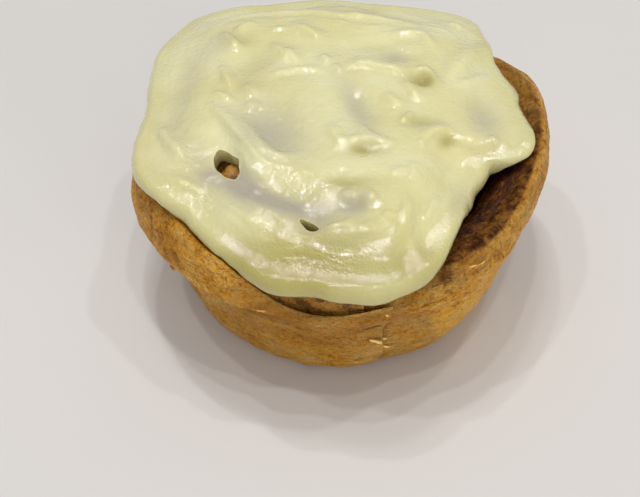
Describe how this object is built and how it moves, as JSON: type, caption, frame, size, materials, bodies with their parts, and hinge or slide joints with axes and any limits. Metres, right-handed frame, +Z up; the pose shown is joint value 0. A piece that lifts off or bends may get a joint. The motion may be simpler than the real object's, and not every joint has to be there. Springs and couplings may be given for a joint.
{
  "type": "cinnamon roll",
  "caption": "Iced cinnamon roll: a rolled strip of dough in a tapered cup shape, a spiral layer of cinnamon filling, and a thick spread of pale icing.",
  "frame": {"origin": "middle of the flat underside, on the axis of the cup shape", "axes": "+Z up through the icing; -Y is the side with the loose end of the rolled strip, and +X the side whose filling is uncovered"},
  "size_m": [0.0994, 0.0963, 0.0521],
  "materials": {
    "dough": "baked crust, dull",
    "filling": "sticky, glossy",
    "icing": "soft, glossy"
  },
  "bodies": {
    "root": {"dough": "dough", "filling": "filling", "icing": "icing"}
  },
  "joints": []
}
